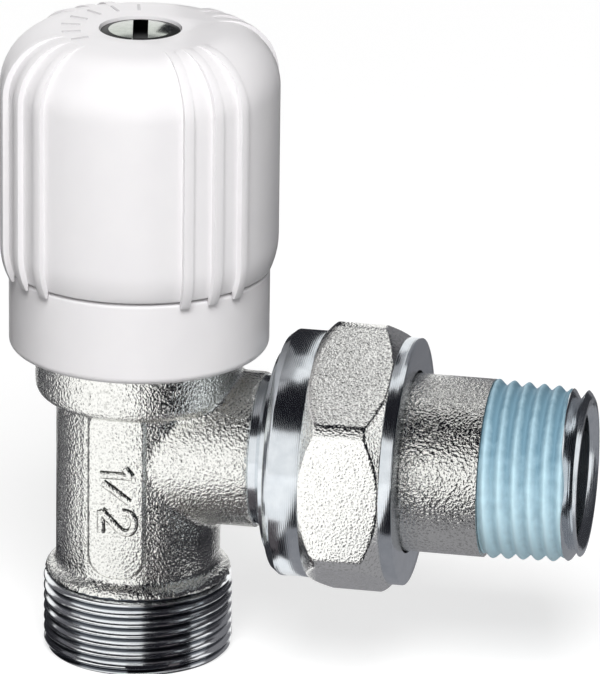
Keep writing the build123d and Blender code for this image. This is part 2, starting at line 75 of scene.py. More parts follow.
class Slot(Enum):
    """Material slots of the record."""

    PLATED = "plated_brass"
    BRASS = "bare_brass"
    STEEL = "steel"
    RUBBER = "seal_rubber"
    PLASTIC = "white_plastic"
    SEALANT = "sealant"


class Axis(Enum):
    """Axis that a turned piece is made about."""

    SPINDLE = "Z"
    OUTLET = "X"


# Modelling helpers


def deselect() -> None:
    """Leaves nothing selected, in object mode."""
    if bpy.context.object and bpy.context.object.mode != "OBJECT":
        bpy.ops.object.mode_set(mode="OBJECT")
    bpy.ops.object.select_all(action="DESELECT")


def pick(piece: Piece) -> None:
    """Makes one piece the only selected one, and the active one."""
    deselect()
    piece.select_set(True)
    bpy.context.view_layer.objects.active = piece


@contextmanager
def editing(piece: Piece) -> Iterator[None]:
    """Edit mode on one piece with all of it selected."""
    pick(piece)
    bpy.ops.object.mode_set(mode="EDIT")
    bpy.ops.mesh.select_all(action="SELECT")
    yield
    bpy.ops.object.mode_set(mode="OBJECT")


def modify(piece: Piece, kind: str, **settings: Any) -> None:
    """Adds a modifier and applies it.

    Args:
        piece: The mesh that is changed.
        kind: Blender's name for the modifier's type.
        **settings: The modifier's properties.
    """
    pick(piece)
    modifier = piece.modifiers.new(kind.lower(), kind)
    for name, value in settings.items():
        setattr(modifier, name, value)
    bpy.ops.object.modifier_apply(modifier=modifier.name)


def merged(piece: Piece) -> Piece:
    """Joins points that coincide and turns all faces outwards."""
    with editing(piece):
        bpy.ops.mesh.remove_doubles(threshold=MERGE)
        bpy.ops.mesh.normals_make_consistent(inside=False)
    return piece


def copy_of(node: str, name: str) -> Piece:
    """Copies a solid's mesh into a new piece of its own.

    Args:
        node: The solid's node.
        name: The new piece's name.

    Returns:
        The merged copy, with no custom normals left on it.
    """
    piece = bpy.data.objects.new(name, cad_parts[node].data.copy())
    bpy.context.scene.collection.objects.link(piece)
    piece.data.materials.clear()
    pick(piece)
    bpy.ops.mesh.customdata_custom_splitnormals_clear()
    return merged(piece)


def span(node: str) -> tuple[Vector, Vector]:
    """Lowest and highest corner of a solid at rest, in millimetres."""
    low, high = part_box(node)
    return low / MM, high / MM


def drawn(name: str, points: list[Point], closed: bool) -> Piece:
    """Draws a half section in the XZ plane by extruding one point along it.

    Args:
        name: The new piece's name.
        points: Radius and height of each corner, in millimetres.
        closed: True where the last corner joins the first.

    Returns:
        A piece of edges alone.
    """
    places = [Vector((radius, 0, height)) * MM for radius, height in points]
    route = places + places[:1] if closed else places
    deselect()
    bpy.ops.mesh.primitive_plane_add(size=MM)
    piece = bpy.context.object
    piece.name = name
    with editing(piece):
        bpy.ops.mesh.merge(type="CENTER")
        bpy.ops.transform.translate(value=route[0])
        for here, there in zip(route, route[1:]):
            bpy.ops.mesh.extrude_region_move(TRANSFORM_OT_translate={"value": there - here})
        bpy.ops.mesh.select_all(action="SELECT")
        bpy.ops.mesh.remove_doubles(threshold=MERGE)
    return piece


def laid(piece: Piece, axis: Axis, height: float) -> Piece:
    """Turns a piece made about the spindle onto the outlet, where it belongs there.

    Args:
        piece: A piece made about the Z axis.
        axis: The axis it belongs on.
        height: Height of the outlet's axis in millimetres.

    Returns:
        The same piece, with its place in its mesh.
    """
    if axis is Axis.OUTLET:
        pick(piece)
        piece.rotation_euler = (0, math.pi / 2, 0)
        piece.location = (0, 0, height * MM)
        bpy.ops.object.transform_apply(location=True, rotation=True, scale=True)
    return piece


def turned(name: str, points: list[Point]) -> Piece:
    """Turns a closed half section about the Z axis.

    Args:
        name: The new piece's name.
        points: Radius and height of each corner, in millimetres.

    Returns:
        A closed ring.
    """
    piece = drawn(name, points, closed=True)
    modify(
        piece,
        "SCREW",
        axis="Z",
        angle=2 * math.pi,
        steps=TURN_STEPS,
        render_steps=TURN_STEPS,
        use_merge_vertices=True,
        merge_threshold=MERGE,
    )
    return merged(piece)


def combined(piece: Piece, tool: Piece, operation: str) -> Piece:
    """Cuts, joins or intersects a piece with a tool, which is used up.

    Args:
        piece: The piece that stays.
        tool: The piece that is used up.
        operation: UNION, DIFFERENCE or INTERSECT.

    Returns:
        The changed piece.
    """
    modify(piece, "BOOLEAN", operation=operation, solver="EXACT", object=tool)
    bpy.data.objects.remove(tool)
    return merged(piece)


def block(low: Vector, high: Vector) -> Piece:
    """A cutting block between two corners in millimetres."""
    deselect()
    bpy.ops.mesh.primitive_cube_add(size=1, location=(low + high) / 2 * MM, scale=(high - low) * MM)
    bpy.ops.object.transform_apply(location=True, rotation=True, scale=True)
    return bpy.context.object


def smooth(piece: Piece, angle: float) -> None:
    """Shades a piece smooth, with edges over an angle in degrees kept sharp."""
    pick(piece)
    bpy.ops.object.shade_smooth_by_angle(angle=math.radians(angle))


def dress(piece: Piece, *materials: Material) -> None:
    """Gives a piece its finishes in order, in place of any that it had."""
    piece.data.materials.clear()
    for material in materials:
        piece.data.materials.append(material)


def paint(piece: Piece, index: int, chosen: Callable[[Vector, Vector], bool]) -> None:
    """Gives the chosen faces another of the piece's finishes.

    Args:
        piece: A dressed piece.
        index: Place of the finish among the piece's materials.
        chosen: Says from a face's centre in millimetres and its normal whether it is one of them.
    """
    for face in piece.data.polygons:
        if chosen(face.center / MM, face.normal):
            face.material_index = index


def settle(piece: Piece, body: Body, slot: Slot, *nodes: str) -> None:
    """Puts a finished piece on its body.

    Args:
        piece: The finished piece.
        body: The body it rides on.
        slot: The record's material slot; not used.
        *nodes: Solids that it stands for.
    """
    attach(piece, body.value)
    if nodes:
        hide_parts(*nodes)
    LOG.info("%s: %d faces on %s", piece.name, len(piece.data.polygons), body.value)


# Finishes


def linear(colour: str) -> tuple[float, float, float, float]:
    """Turns an sRGB hex colour to linear light.

    Args:
        colour: Six hex digits after a hash.

    Returns:
        Red, green, blue and an alpha of 1.
    """
    shares = [int(colour[start:start + 2], 16) / 255 for start in (1, 3, 5)]
    red, green, blue = [s / 12.92 if s <= 0.04045 else ((s + 0.055) / 1.055) ** 2.4 for s in shares]
    return red, green, blue, 1.0


def add_node(tree: bpy.types.NodeTree, kind: str, inputs: dict[Any, Any], **settings: Any) -> bpy.types.Node:
    """Adds a node with its settings, values and links.

    Args:
        tree: The node tree.
        kind: The node's type.
        inputs: Values, or other nodes' output sockets, by the input's name or number.
        **settings: The node's properties.

    Returns:
        The new node.
    """
    node = tree.nodes.new(kind)
    for name, value in settings.items():
        setattr(node, name, value)
    for key, value in inputs.items():
        if isinstance(value, bpy.types.NodeSocket):
            tree.links.new(value, node.inputs[key])
        else:
            node.inputs[key].default_value = value
    return node


def blank_material(name: str) -> tuple[Material, bpy.types.NodeTree, bpy.types.NodeSocket]:
    """Makes a material with nothing but its output.

    Args:
        name: The material's name.

    Returns:
        The material, its node tree and the output's surface socket.
    """
    material = bpy.data.materials.new(name)
    material.use_nodes = True
    material.node_tree.nodes.clear()
    output = add_node(material.node_tree, "ShaderNodeOutputMaterial", {})
    return material, material.node_tree, output.inputs["Surface"]


def per_metre(size: float) -> float:
    """Scale of a pattern whose features have a size in millimetres."""
    return 1 / (size * MM)


@dataclass(frozen=True)
class ForgedPlating:
    """Nickel-plated brass, hot forged and shot-blasted: a bright metal broken into fine sparkling grain."""

    name: str = "forged_nickel_plated_brass"
    light: str = "#F4F4F0"
    # tone painted into the grain's hollows: painted shade in the pits
    pit_shade: str = "#CDCDC9"
    grain: float = 0.34
    swell: float = 2.6
    relief: float = 0.18
    smoothest: float = 0.12
    roughest: float = 0.2

    def material(self) -> Material:
        """Builds the finish; the grain tilts the surface, and its hollows are painted a darker tone: painted
        shade in the pits.
        """
        material, tree, surface = blank_material(self.name)
        place = add_node(tree, "ShaderNodeTexCoord", {}).outputs["Object"]
        grain = add_node(
            tree,
            "ShaderNodeTexNoise",
            {"Vector": place, "Scale": per_metre(self.grain), "Detail": 1.5, "Roughness": 0.52},
        )
        swell = add_node(
            tree, "ShaderNodeTexNoise", {"Vector": place, "Scale": per_metre(self.swell), "Detail": 1.0}
        )
        shaded_hollow = add_node(
            tree, "ShaderNodeMapRange", {"Value": grain.outputs[0], "From Min": 0.3, "From Max": 0.48}
        )
        tone = add_node(
            tree,
            "ShaderNodeMix",
            {0: shaded_hollow.outputs[0], 6: linear(self.pit_shade), 7: linear(self.light)},
            data_type="RGBA",
        )
        gloss = add_node(
            tree,
            "ShaderNodeMapRange",
            {
                "Value": swell.outputs[0],
                "From Min": 0.3,
                "From Max": 0.7,
                "To Min": self.smoothest,
                "To Max": self.roughest,
            },
        )
        bump = add_node(
            tree,
            "ShaderNodeBump",
            {"Height": grain.outputs[0], "Distance": self.relief * MM, "Strength": 1.0},
        )
        shader = add_node(
            tree,
            "ShaderNodeBsdfPrincipled",
            {
                "Base Color": tone.outputs[2],
                "Metallic": 1.0,
                "Roughness": gloss.outputs[0],
                "Normal": bump.outputs[0],
            },
        )
        tree.links.new(shader.outputs[0], surface)
        return material


@dataclass(frozen=True)
class TurnedPlating:
    """Nickel-plated brass, turned on a lathe: mirror-like bands broken by fine rings of the tool."""

    axis: Axis
    name: str = "turned_nickel_plated_brass"
    light: str = "#EEF2F5"
    dull: str = "#CDD4DA"
    ring: float = 0.22  # tool marks are finer than this, and are drawn as coarse as they need to show
    relief: float = 0.002
    smoothest: float = 0.12
    roughest: float = 0.22
    root: str | None = None  # tone painted into the roots of a thread: painted shade

    def material(self) -> Material:
        """Builds the finish; rings follow the axis that the piece was turned on."""
        material, tree, surface = blank_material(f"{self.name}_{self.axis.value.lower()}")
        place = add_node(tree, "ShaderNodeTexCoord", {}).outputs["Object"]
        rings = add_node(
            tree,
            "ShaderNodeTexWave",
            {"Vector": place, "Scale": per_metre(self.ring) * WAVE_PERIOD, "Distortion": 0.6, "Detail": 2.0},
            bands_direction=self.axis.value,
        )
        haze = add_node(tree, "ShaderNodeTexNoise", {"Vector": place, "Scale": per_metre(1.6), "Detail": 3.0})
        tone = add_node(
            tree,
            "ShaderNodeMix",
            {0: haze.outputs[0], 6: linear(self.dull), 7: linear(self.light)},
            data_type="RGBA",
        )
        # the roots take a darker tone: painted shade in the thread's recesses
        if self.root:
            height = add_node(tree, "ShaderNodeAttribute", {}, attribute_name=RIDGE)
            share = add_node(
                tree,
                "ShaderNodeMapRange",
                {"Value": height.outputs["Fac"], "From Min": 0.05, "From Max": 0.42},
                interpolation_type="SMOOTHSTEP",
            )
            tone = add_node(
                tree,
                "ShaderNodeMix",
                {0: share.outputs[0], 6: linear(self.root), 7: tone.outputs[2]},
                data_type="RGBA",
            )
        gloss = add_node(
            tree,
            "ShaderNodeMapRange",
            {"Value": rings.outputs[1], "To Min": self.smoothest, "To Max": self.roughest},
        )
        bump = add_node(
            tree, "ShaderNodeBump", {"Height": rings.outputs[1], "Distance": self.relief * MM, "Strength": 1.0}
        )
        shader = add_node(
            tree,
            "ShaderNodeBsdfPrincipled",
            {
                "Base Color": tone.outputs[2],
                "Metallic": 1.0,
                "Roughness": gloss.outputs[0],
                "Normal": bump.outputs[0],
            },
        )
        tree.links.new(shader.outputs[0], surface)
        return material


@dataclass(frozen=True)
class MouldedAbs:
    """Injection-moulded ABS: white with a soft gloss and a faint ripple from the mould."""

    name: str = "moulded_white_abs"
    light: str = "#EDEBEC"
    dull: str = "#E7E5E7"
    ripple: float = 5.0
    relief: float = 0.01
    smoothest: float = 0.3
    roughest: float = 0.4

    def material(self) -> Material:
        """Builds the finish; the ripple varies gloss and tone a little."""
        material, tree, surface = blank_material(self.name)
        place = add_node(tree, "ShaderNodeTexCoord", {}).outputs["Object"]
        ripple = add_node(
            tree, "ShaderNodeTexNoise", {"Vector": place, "Scale": per_metre(self.ripple), "Detail": 2.0}
        )
        grain = add_node(tree, "ShaderNodeTexNoise", {"Vector": place, "Scale": per_metre(0.3), "Detail": 1.0})
        tone = add_node(
            tree,
            "ShaderNodeMix",
            {0: ripple.outputs[0], 6: linear(self.dull), 7: linear(self.light)},
            data_type="RGBA",
        )
        gloss = add_node(
            tree,
            "ShaderNodeMapRange",
            {"Value": ripple.outputs[0], "To Min": self.smoothest, "To Max": self.roughest},
        )
        bump = add_node(
            tree, "ShaderNodeBump", {"Height": grain.outputs[0], "Distance": self.relief * MM, "Strength": 0.3}
        )
        shader = add_node(
            tree,
            "ShaderNodeBsdfPrincipled",
            {
                "Base Color": tone.outputs[2],
                "Roughness": gloss.outputs[0],
                "Normal": bump.outputs[0],
                "IOR": 1.53,
            },
        )
        tree.links.new(shader.outputs[0], surface)
        return material


@dataclass(frozen=True)
class CuredSealant:
    """Acrylic thread sealant, dried: light blue, matt, paler in random patches, with painted highlights on its
    ridges and lower side and painted shade in its grooves and on its top.
    """

    # light is the painted lit tone of the ridges and lower side, deep the painted shade of the grooves and top
    light: str = "#D2F2FE"
    deep: str = "#7395A6"
    patch: float = 1.3
    relief: float = 0.03
    gloss: float = 0.5
    bottom: float = 16.0  # heights between which the tone goes from painted light below to painted shade on top
    top: float = 37.0
    # offsets of the tone at the bottom and top heights: painted light below, painted shade on top
    lower_light: float = 1.0
    upper_shade: float = -0.35

    def material(self) -> Material:
        """Builds the finish; the coat is painted paler on the ridges and below and darker in the grooves and on
        top, as painted light and shade, and is patchy.
        """
        material, tree, surface = blank_material("dried_acrylic_sealant")
        place = add_node(tree, "ShaderNodeTexCoord", {}).outputs["Object"]
        patch = add_node(
            tree, "ShaderNodeTexNoise", {"Vector": place, "Scale": per_metre(self.patch), "Detail": 3.0}
        )
        height = add_node(tree, "ShaderNodeAttribute", {}, attribute_name=RIDGE)
        uneven = add_node(
            tree, "ShaderNodeMapRange", {"Value": patch.outputs[0], "To Min": -0.3, "To Max": 0.3}
        )
        upright = add_node(tree, "ShaderNodeSeparateXYZ", {0: place})
        painted_height_shade = add_node(
            tree,
            "ShaderNodeMapRange",
            {
                "Value": upright.outputs["Z"],
                "From Min": self.bottom * MM,
                "From Max": self.top * MM,
                "To Min": self.lower_light,
                "To Max": self.upper_shade,
            },
        )
        shade_and_patches = add_node(
            tree, "ShaderNodeMath", {0: painted_height_shade.outputs[0], 1: uneven.outputs[0]}, operation="ADD"
        )
        # ridges are painted paler than the grooves: painted highlight and shade
        share = add_node(
            tree,
            "ShaderNodeMath",
            {0: height.outputs["Fac"], 1: 0.6, 2: shade_and_patches.outputs[0]},
            operation="MULTIPLY_ADD",
            use_clamp=True,
        )
        tone = add_node(
            tree,
            "ShaderNodeMix",
            {0: share.outputs[0], 6: linear(self.deep), 7: linear(self.light)},
            data_type="RGBA",
        )
        bump = add_node(
            tree, "ShaderNodeBump", {"Height": patch.outputs[0], "Distance": self.relief * MM, "Strength": 1.0}
        )
        shader = add_node(
            tree,
            "ShaderNodeBsdfPrincipled",
            {"Base Color": tone.outputs[2], "Roughness": self.gloss, "Normal": bump.outputs[0]},
        )
        tree.links.new(shader.outputs[0], surface)
        return material


@dataclass(frozen=True)
class PlainMetal:
    """Machined metal of the inner pieces: one hue that a fine grain lightens and dulls."""

    name: str
    light: str
    dull: str
    grain: float = 0.35
    smoothest: float = 0.18
    roughest: float = 0.34

    def material(self) -> Material:
        """Builds the finish from one noise for tone, gloss and relief."""
        material, tree, surface = blank_material(self.name)
        place = add_node(tree, "ShaderNodeTexCoord", {}).outputs["Object"]
        grain = add_node(
            tree, "ShaderNodeTexNoise", {"Vector": place, "Scale": per_metre(self.grain), "Detail": 3.0}
        )
        tone = add_node(
            tree,
            "ShaderNodeMix",
            {0: grain.outputs[0], 6: linear(self.dull), 7: linear(self.light)},
            data_type="RGBA",
        )
        gloss = add_node(
            tree,
            "ShaderNodeMapRange",
            {"Value": grain.outputs[0], "To Min": self.smoothest, "To Max": self.roughest},
        )
        bump = add_node(
            tree, "ShaderNodeBump", {"Height": grain.outputs[0], "Distance": 0.006 * MM, "Strength": 1.0}
        )
        shader = add_node(
            tree,
            "ShaderNodeBsdfPrincipled",
            {
                "Base Color": tone.outputs[2],
                "Metallic": 1.0,
                "Roughness": gloss.outputs[0],
                "Normal": bump.outputs[0],
            },
        )
        tree.links.new(shader.outputs[0], surface)
        return material


@dataclass(frozen=True)
class MouldedRubber:
    """Nitrile rubber: black, with a dull bloom in patches."""

    dark: str = "#141414"
    bloom: str = "#2C2C2B"
    patch: float = 0.8

    def material(self) -> Material:
        """Builds the finish; the bloom is paler and rougher."""
        material, tree, surface = blank_material("moulded_nitrile_rubber")
        place = add_node(tree, "ShaderNodeTexCoord", {}).outputs["Object"]
        patch = add_node(
            tree, "ShaderNodeTexNoise", {"Vector": place, "Scale": per_metre(self.patch), "Detail": 3.0}
        )
        tone = add_node(
            tree,
            "ShaderNodeMix",
            {0: patch.outputs[0], 6: linear(self.dark), 7: linear(self.bloom)},
            data_type="RGBA",
        )
        gloss = add_node(
            tree, "ShaderNodeMapRange", {"Value": patch.outputs[0], "To Min": 0.45, "To Max": 0.75}
        )
        shader = add_node(
            tree, "ShaderNodeBsdfPrincipled", {"Base Color": tone.outputs[2], "Roughness": gloss.outputs[0]}
        )
        tree.links.new(shader.outputs[0], surface)
        return material


class Finishes:
    """Every finish of the valve, each made once."""

    def __init__(self) -> None:
        """Makes the materials."""
        self.forged = ForgedPlating().material()
        # a darker copy of the forged plating: painted shade on the sides of the raised strokes
        self.forged_painted_shade = ForgedPlating(
            name="painted_shade_nickel_plated_brass", light="#74746F", pit_shade="#50504C"
        ).material()
        self.forged_nut = ForgedPlating(
            name="pressed_nickel_plated_brass", light="#FFFFFC", pit_shade="#DCDCD8", grain=0.3, relief=0.085
        ).material()
        self.turned_upright = TurnedPlating(Axis.SPINDLE).material()
        self.turned_outlet = TurnedPlating(Axis.OUTLET).material()
        # a lighter copy of the turned plating with darkened roots: painted highlight on the crests and painted
        # shade in the roots
        self.thread_upright = TurnedPlating(
            Axis.SPINDLE, name="screw_cut_nickel_plated_brass", light="#FFFFFF", dull="#EFF3F6", root="#5C6168"
        ).material()
        self.abs_white = MouldedAbs().material()
        self.abs_mark = MouldedAbs(name="moulded_white_abs_marks", light="#CECCCE", dull="#C3C1C3").material()
        self.sealant = CuredSealant().material()
        self.brass = PlainMetal("machined_brass", "#D8B56A", "#B08A45").material()
        self.steel = PlainMetal("zinc_plated_steel", "#D5D9D2", "#B4BAB1", 0.8, 0.1, 0.18).material()
        # a dark copy of the steel: painted shade in the screw's slot and round its head
        self.shaded_steel = PlainMetal("painted_shade_steel", "#2A2C2B", "#161817", 0.3, 0.3, 0.45).material()
        self.rubber = MouldedRubber().material()


# Threads


@dataclass(frozen=True)
class Thread:
    """A rounded pipe thread, in millimetres along its own axis."""

    crest_radius: float
    depth: float
    pitch: float
    start: float
    finish: float
    points: int = 14
    sharpness: float = 0.93  # near 1 the flanks are straight, and lower the crests are rounder
    phase: float = 0.0  # share of the pitch that the crests are moved along

    def radius(self, share: float) -> float:
        """Radius at a share of the pitch, with the crest at a half."""
        wave = math.asin(self.sharpness * math.cos(2 * math.pi * share)) / math.asin(self.sharpness)
        return self.crest_radius - self.depth * (1 + wave) / 2

    def rod(self, name: str) -> Piece:
        """Winds one pitch of the profile up a helix and closes both ends.

        Args:
            name: The new piece's name.

        Returns:
            A closed threaded rod about the Z axis.
        """
        first = self.start - (2 - self.phase) * self.pitch
        shares = [step / self.points for step in range(self.points + 1)]
        profile = [(self.radius(share), first + share * self.pitch) for share in shares]
        turns = math.ceil((self.finish - self.start) / self.pitch) + 3
        piece = drawn(name, profile, closed=False)
        modify(
            piece,
            "SCREW",
            axis="Z",
            angle=2 * math.pi,
            screw_offset=self.pitch * MM,
            iterations=turns,
            steps=TURN_STEPS,
            render_steps=TURN_STEPS,
        )
        with editing(piece):
            bpy.ops.mesh.remove_doubles(threshold=MERGE)
            for level, outwards in ((self.start, -1), (self.finish, 1)):
                bpy.ops.mesh.select_all(action="SELECT")
                bpy.ops.mesh.bisect(
                    plane_co=(0, 0, level * MM),
                    plane_no=(0, 0, outwards),
                    clear_outer=True,
                    use_fill=True,
                    threshold=MERGE / 10,
                )
        return merged(piece)


def mark_ridges(piece: Piece, form: Thread, axis: Axis, height: float) -> None:
    """Stores each point's height above a thread's roots, from 0 to 1, for the finish to use.

    Args:
        piece: The threaded piece, in its place.
        form: The thread that it was made from.
        axis: The thread's axis.
        height: Millimetres of that axis above the floor, where it lies flat.
    """
    ridge = piece.data.attributes.new(RIDGE, "FLOAT", "POINT")
    root = form.crest_radius - form.depth
    for point, share in zip(piece.data.vertices, ridge.data):
        arm = point.co - Vector((0, 0, height * MM))
        arm["XYZ".index(axis.value)] = 0
        share.value = min(1.0, max(0.0, (arm.length / MM - root) / form.depth))


# Sub-assemblies


@dataclass
class ValveBody:
    """Forged body with its screwed inlet, turned outlet end and raised size mark."""

    finishes: Finishes
    inlet_top: float = 9.9
    inlet_radius: float = 11.5
    inlet_pitch: float = 1.337
    inlet_depth: float = 0.62
    inlet_sharpness: float = 0.7
    inlet_chamfer: float = 0.55
    runout_length: float = 0.3
    runout_radius: float = 10.8
    socket_radius: float = 8.0
    socket_depth: float = 8.5
    socket_mouth: float = 0.6
    way_radius: float = 5.6
    axis_height: float = 26.4
    turned_from: float = 15.3
    outlet_bore: float = 7.0
    neck_radius: float = 9.1
    neck_length: float = 0.9
    flare_radius: float = 12.3
    flare_length: float = 1.0
    union_radius: float = 13.22
    union_length: float = 8.2
    union_chamfer: float = 0.5
    nose_socket: float = 9.4
    nose_depth: float = 5.85
    tube_radius: float = 10.07
    shoulder_top: float = 11.3
    pad_face: float = 10.22
    pad_width: float = 6.5
    pad_low: float = 12.1
    pad_high: float = 33.0
    pad_corner: float = 1.6
    pad_foot_corner: float = 2.9
    pad_depth: float = 0.9
    pad_draft: float = 0.5  # widening of the pad to its foot
    grid: float = 0.3  # facet size of the forging, which rounds its edges by about as much
    reach: float = 60.0
    mark_width: float = 1.15
    mark_sink: float = 0.24
    mark_steep: float = 0.75  # faces of the strokes that lean out further than this keep the plating; steeper sides get the darker copy, painted shade
    mark_middle: Vector = Vector((-0.5, 0.0, 22.4))

    def build(self) -> None:
        """Builds and dresses every piece of the body."""
        self.build_forging()
        self.build_outlet_end()
        self.build_inlet_thread()
        self.build_pad()
        self.build_size_mark()

    def build_forging(self) -> None:
        """The rough forging: the solid without its turned ends, with every edge softened."""
        forging = copy_of("valve_body", "body_forging")
        far = self.reach
        combined(forging, block(Vector((-far, -far, -far)), Vector((far, far, self.inlet_top))), "DIFFERENCE")
        combined(forging, block(Vector((self.turned_from, -far, -far)), Vector((far, far, far))), "DIFFERENCE")
        combined(forging, self.pad_trim(), "DIFFERENCE")
        modify(forging, "REMESH", mode="VOXEL", voxel_size=self.grid * MM, use_smooth_shade=True)
        modify(forging, "SMOOTH", factor=0.5, iterations=3)
        smooth(forging, 60)
        dress(forging, self.finishes.forged)
        settle(forging, Body.VALVE, Slot.PLATED, "valve_body")

    def pad_trim(self) -> Piece:
        """The room round the tube where the pad's own piece takes the solid's place."""
        low, high = self.shoulder_top, self.pad_high - self.pad_corner / 3
        outer = self.tube_radius + self.pad_depth
        trim = turned(
            "pad_trim", [(self.tube_radius, low), (outer, low), (outer, high), (self.tube_radius, high)]
        )
        side = self.pad_width / 2 + self.pad_depth
        middle = self.mark_middle.x
        front = block(
            Vector((middle - side, -outer, low - 1)),
            Vector((middle + side, -self.tube_radius / 2, high + 1)),
        )
        return combined(trim, front, "INTERSECT")

    def build_outlet_end(self) -> None:
        """The turned end of the outlet branch: neck, flare, relief and the union's thread."""
        end = span("valve_body")[1].x
        neck = self.turned_from
        spigot = turned(
            "outlet_end",
            [
                (self.outlet_bore, neck),
                (self.neck_radius, neck),
                (self.neck_radius, neck + self.neck_length),
                (self.flare_radius, neck + self.neck_length + self.flare_length),
                (self.flare_radius, end - self.union_length),
                (self.union_radius, end - self.union_length),
                (self.union_radius, end - self.union_chamfer),
                (self.union_radius - self.union_chamfer, end),
                (self.nose_socket, end),
                (self.nose_socket, end - self.nose_depth),
                (self.outlet_bore, end - self.nose_depth),
            ],
        )
        laid(spigot, Axis.OUTLET, self.axis_height)
        smooth(spigot, 30)
        dress(spigot, self.finishes.turned_outlet)
        settle(spigot, Body.VALVE, Slot.PLATED)

    def build_inlet_thread(self) -> None:
        """The screwed inlet, chamfered below and run out under the shoulder."""
        crest = self.inlet_radius + 0.1
        runout = self.inlet_top - self.runout_length
        blank = turned(
            "inlet_blank",
            [
                (crest - self.inlet_chamfer - 0.1, 0),
                (crest, self.inlet_chamfer + 0.1),
                (crest, runout - self.inlet_depth / 2),
                (self.runout_radius, runout),
                (self.runout_radius, self.inlet_top),
                (self.way_radius, self.inlet_top),
                (self.way_radius, self.socket_depth),
                (self.socket_radius, self.socket_depth),
                (self.socket_radius, self.socket_mouth),
                (self.socket_radius + self.socket_mouth, 0),
            ],
        )
        form = Thread(
            self.inlet_radius,
            self.inlet_depth,
            self.inlet_pitch,
            -0.5,
            self.inlet_top + 0.5,
            sharpness=self.inlet_sharpness,
        )
        thread = combined(form.rod("inlet_thread"), blank, "INTERSECT")
        mark_ridges(thread, form, Axis.SPINDLE, 0)
        smooth(thread, 40)
        dress(thread, self.finishes.thread_upright)
        settle(thread, Body.VALVE, Slot.PLATED)

    def build_pad(self) -> None:
        """The raised pad that carries the size, flat in front with drafted sides."""
        half = self.pad_width / 2
        corners = (
            (half, self.pad_low, -90),
            (half, self.pad_high, 0),
            (-half, self.pad_high, 90),
            (-half, self.pad_low, 180),
        )
        outline = []
        for x, z, start in corners:
            upper = z == self.pad_high
            corner = self.pad_corner if upper else self.pad_foot_corner
            inset = Vector((x, z)) - Vector((math.copysign(1, x), 1 if upper else -1)) * corner
            for step in range(7):
                turn = math.radians(start + 15 * step)
                outline.append(
                    (self.mark_middle.x + inset.x + corner * math.cos(turn), inset.y + corner * math.sin(turn))
                )
        pad = drawn("size_pad", outline, closed=True)
        height = self.pad_high - self.pad_low
        with editing(pad):
            bpy.ops.mesh.edge_face_add()
            bpy.ops.transform.translate(value=(0, -self.pad_face * MM, 0))
            bpy.ops.mesh.extrude_region_move(TRANSFORM_OT_translate={"value": (0, self.pad_depth * MM, 0)})
            widen = 1 + 2 * self.pad_draft / self.pad_width
            lengthen = 1 + 2 * self.pad_draft / height
            bpy.ops.transform.resize(value=(widen, 1, lengthen))
        merged(pad)
        modify(pad, "BEVEL", width=0.14 * MM, segments=2, limit_method="ANGLE", angle_limit=math.radians(35))
        smooth(pad, 40)
        dress(pad, self.finishes.forged)
        settle(pad, Body.VALVE, Slot.PLATED)

    def build_size_mark(self) -> None:
        """Raised nominal size on the pad, drawn as rounded strokes that read downwards."""
        strokes = [
            [(-4.0, 1.1), (-3.0, 1.95)],
            [(-3.0, 1.95), (-3.0, -1.9)],
            [(-2.0, -1.6), (0.3, 1.7)],
            [(1.6, 0.8), (1.6, 1.9), (2.9, 2.4), (4.2, 1.9), (4.2, 0.8), (3.5, 0.0), (1.6, -1.8)],
            [(1.6, -1.8), (4.4, -1.8)],
        ]
        curve = bpy.data.curves.new("size_mark", "CURVE")
        curve.dimensions = "3D"
        curve.bevel_depth = self.mark_width / 2 * MM
        curve.bevel_resolution = 6
        curve.use_fill_caps = True
        for stroke in strokes:
            spline = curve.splines.new("NURBS" if len(stroke) > 3 else "POLY")
            spline.points.add(len(stroke) - 1)
            for point, (along, up) in zip(spline.points, stroke):
                place = self.mark_middle + Vector((up, self.mark_sink - self.pad_face, -along))
                point.co = (*(place * MM), 1)
            spline.use_endpoint_u = True
            spline.order_u = 3
        mark = bpy.data.objects.new("size_mark", curve)
        bpy.context.scene.collection.objects.link(mark)
        pick(mark)
        bpy.ops.object.convert(target="MESH")
        mark = bpy.context.object
        merged(mark)
        smooth(mark, 60)
        dress(mark, self.finishes.forged, self.finishes.forged_painted_shade)
        # the steep sides of the strokes take the darker copy of the plating: painted shade round the raised
        # figures
        paint(mark, 1, lambda centre, normal: normal.y > -self.mark_steep)
        settle(mark, Body.VALVE, Slot.PLATED)


